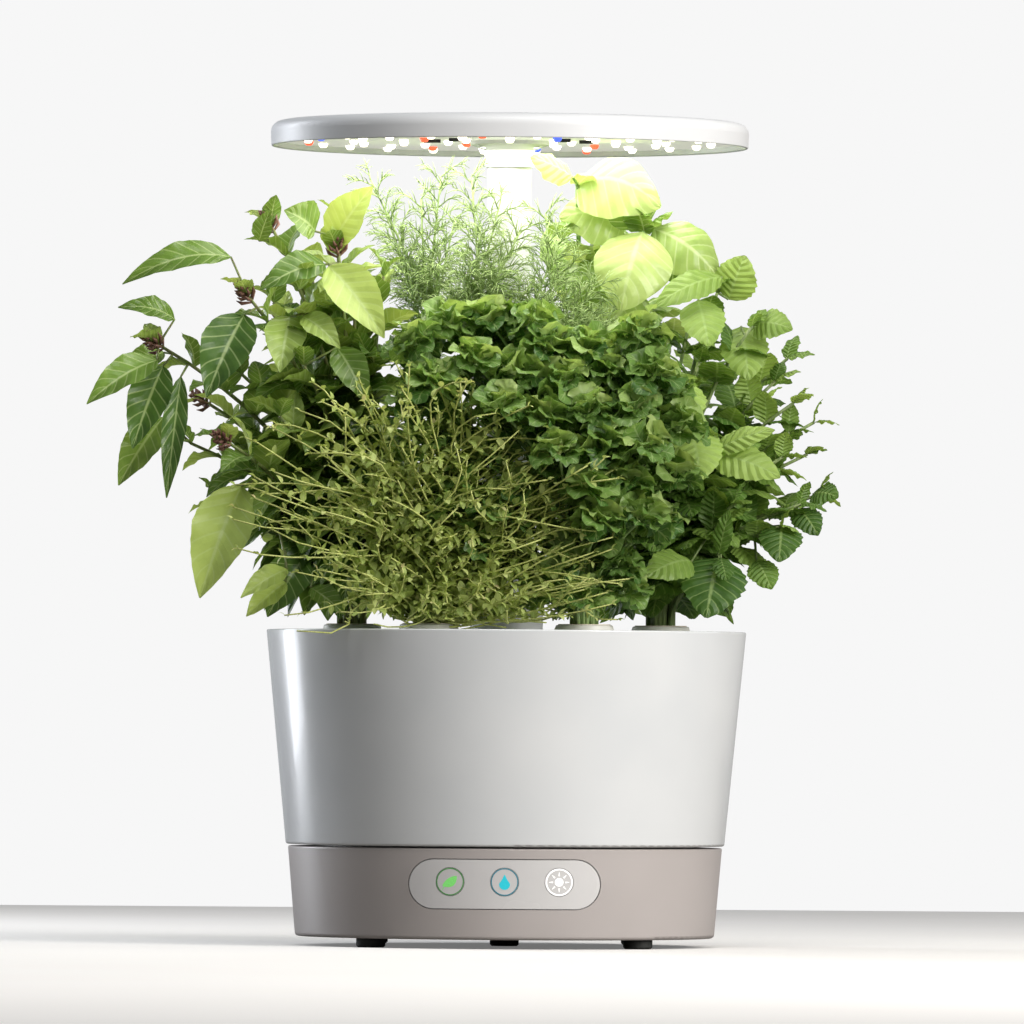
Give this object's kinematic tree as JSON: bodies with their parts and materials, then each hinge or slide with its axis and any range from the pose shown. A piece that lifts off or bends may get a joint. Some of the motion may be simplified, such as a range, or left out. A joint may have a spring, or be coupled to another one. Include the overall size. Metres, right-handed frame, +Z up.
{
  "type": "countertop hydroponic garden",
  "caption": "Round countertop water garden: herb pods in a lift-off bowl with a pump, on a base with buttons, under a height-adjustable round grow light.",
  "frame": {"origin": "on the mast's axis, in the plane that the rubber feet stand on", "axes": "+Z up along the mast, -Y towards the front with the control panel, +X to the right"},
  "size_m": [0.4166, 0.2642, 0.4546],
  "materials": {
    "base_drum": "satin",
    "base_underside": "matte",
    "screw_steel": "satin",
    "foot_rubber": "matte",
    "panel_plastic": "satin",
    "lens_plastic": "satin",
    "circuit_board": "satin",
    "black_plastic": "satin",
    "lamp_epoxy": "gloss",
    "wire_cover": "satin",
    "bowl_plastic": "gloss",
    "pump_plastic": "satin",
    "filter_foam": "matte",
    "impeller_plastic": "satin",
    "pin_steel": "satin",
    "pipe_plastic": "satin",
    "float_foam": "matte",
    "deck_plastic": "satin",
    "basket_plastic": "satin",
    "sponge_peat": "matte",
    "label_paper": "matte",
    "mast_plastic": "satin",
    "bush_plastic": "satin",
    "lamp_wire": "satin",
    "hood_plastic": "satin",
    "light_board": "satin",
    "led_white": "gloss",
    "led_red": "gloss",
    "led_blue": "gloss",
    "chip_plastic": "satin",
    "mint_leaf": "satin",
    "basil_leaf": "satin",
    "dill_leaf": "satin",
    "thai_basil_leaf": "satin",
    "thyme_leaf": "satin",
    "parsley_leaf": "satin"
  },
  "bodies": {
    "base": {"base_shell": "base_drum", "base_plate": "base_underside", "base_screws": "screw_steel", "rubber_feet": "foot_rubber", "control_panel": "panel_plastic", "water_indicator": "lens_plastic", "control_board": "circuit_board", "tact_switches": "black_plastic", "indicator_leds": "lamp_epoxy", "board_screws": "screw_steel", "dc_jack": "black_plastic", "base_connector": "black_plastic", "level_sensor": "black_plastic", "base_wiring": "wire_cover"},
    "food_button": {"food_button": "lens_plastic"},
    "light_button": {"light_button": "lens_plastic"},
    "bowl": {"bowl": "bowl_plastic", "bowl_connector": "black_plastic", "pump_lead": "wire_cover", "pump_housing": "pump_plastic", "pump_cover": "pump_plastic", "intake_filter": "filter_foam", "impeller_pin": "pin_steel", "riser_pipe": "pipe_plastic", "water_manifold": "pipe_plastic", "float_guide": "pipe_plastic", "grow_deck": "deck_plastic", "lid_pin": "pin_steel", "grow_sponges": "sponge_peat", "pod_labels": "label_paper", "mast_socket": "deck_plastic", "grow_basket_1": "basket_plastic", "grow_basket_2": "basket_plastic", "grow_basket_3": "basket_plastic", "grow_basket_4": "basket_plastic", "grow_basket_5": "basket_plastic", "grow_basket_6": "basket_plastic", "plant_mint": "mint_leaf", "plant_basil": "basil_leaf", "plant_dill": "dill_leaf", "plant_thai_basil": "thai_basil_leaf", "plant_thyme": "thyme_leaf", "plant_parsley": "parsley_leaf"},
    "impeller": {"impeller": "impeller_plastic"},
    "level_float": {"level_float": "float_foam"},
    "fill_lid": {"fill_lid": "deck_plastic"},
    "mast": {"mast_tube": "mast_plastic", "mast_collar": "mast_plastic", "friction_bush": "bush_plastic", "mast_plug": "black_plastic", "lamp_lead": "lamp_wire"},
    "hood": {"mast_tube_upper": "mast_plastic", "hood_hub": "mast_plastic", "hood_screws": "screw_steel", "hood_shell": "hood_plastic", "led_board": "light_board", "leds_white": "led_white", "leds_red": "led_red", "leds_blue": "led_blue", "board_drivers": "chip_plastic"}
  },
  "joints": [
    {"name": "food_press", "type": "slide", "parent": "base", "child": "food_button", "axis": [0, 1, 0], "range_m": [0, 0.0006], "stiffness_N_per_m": 900},
    {"name": "light_press", "type": "slide", "parent": "base", "child": "light_button", "axis": [0, 1, 0], "range_m": [0, 0.0006], "stiffness_N_per_m": 900},
    {"name": "bowl_lift", "type": "slide", "parent": "base", "child": "bowl", "axis": [0, 0, 1], "range_m": [0, 0.07]},
    {"name": "impeller_spin", "type": "hinge", "parent": "bowl", "child": "impeller", "pos_m": [0, 0.078, 0.07], "axis": [0, 0, 1], "continuous": true},
    {"name": "float_rise", "type": "slide", "parent": "bowl", "child": "level_float", "axis": [0, 0, 1], "range_m": [0, 0.035]},
    {"name": "lid_open", "type": "hinge", "parent": "bowl", "child": "fill_lid", "pos_m": [0, 0.08, 0.1702], "axis": [1, 0, 0], "range_deg": [0, 100]},
    {"name": "mast_lift", "type": "slide", "parent": "bowl", "child": "mast", "axis": [0, 0, 1], "range_m": [0, 0.09]},
    {"name": "light_height", "type": "slide", "parent": "mast", "child": "hood", "axis": [0, 0, 1], "range_m": [-0.105, 0], "deforming": ["plant_mint", "plant_basil", "plant_dill", "plant_thai_basil", "plant_thyme", "plant_parsley", "lamp_lead"]}
  ]
}
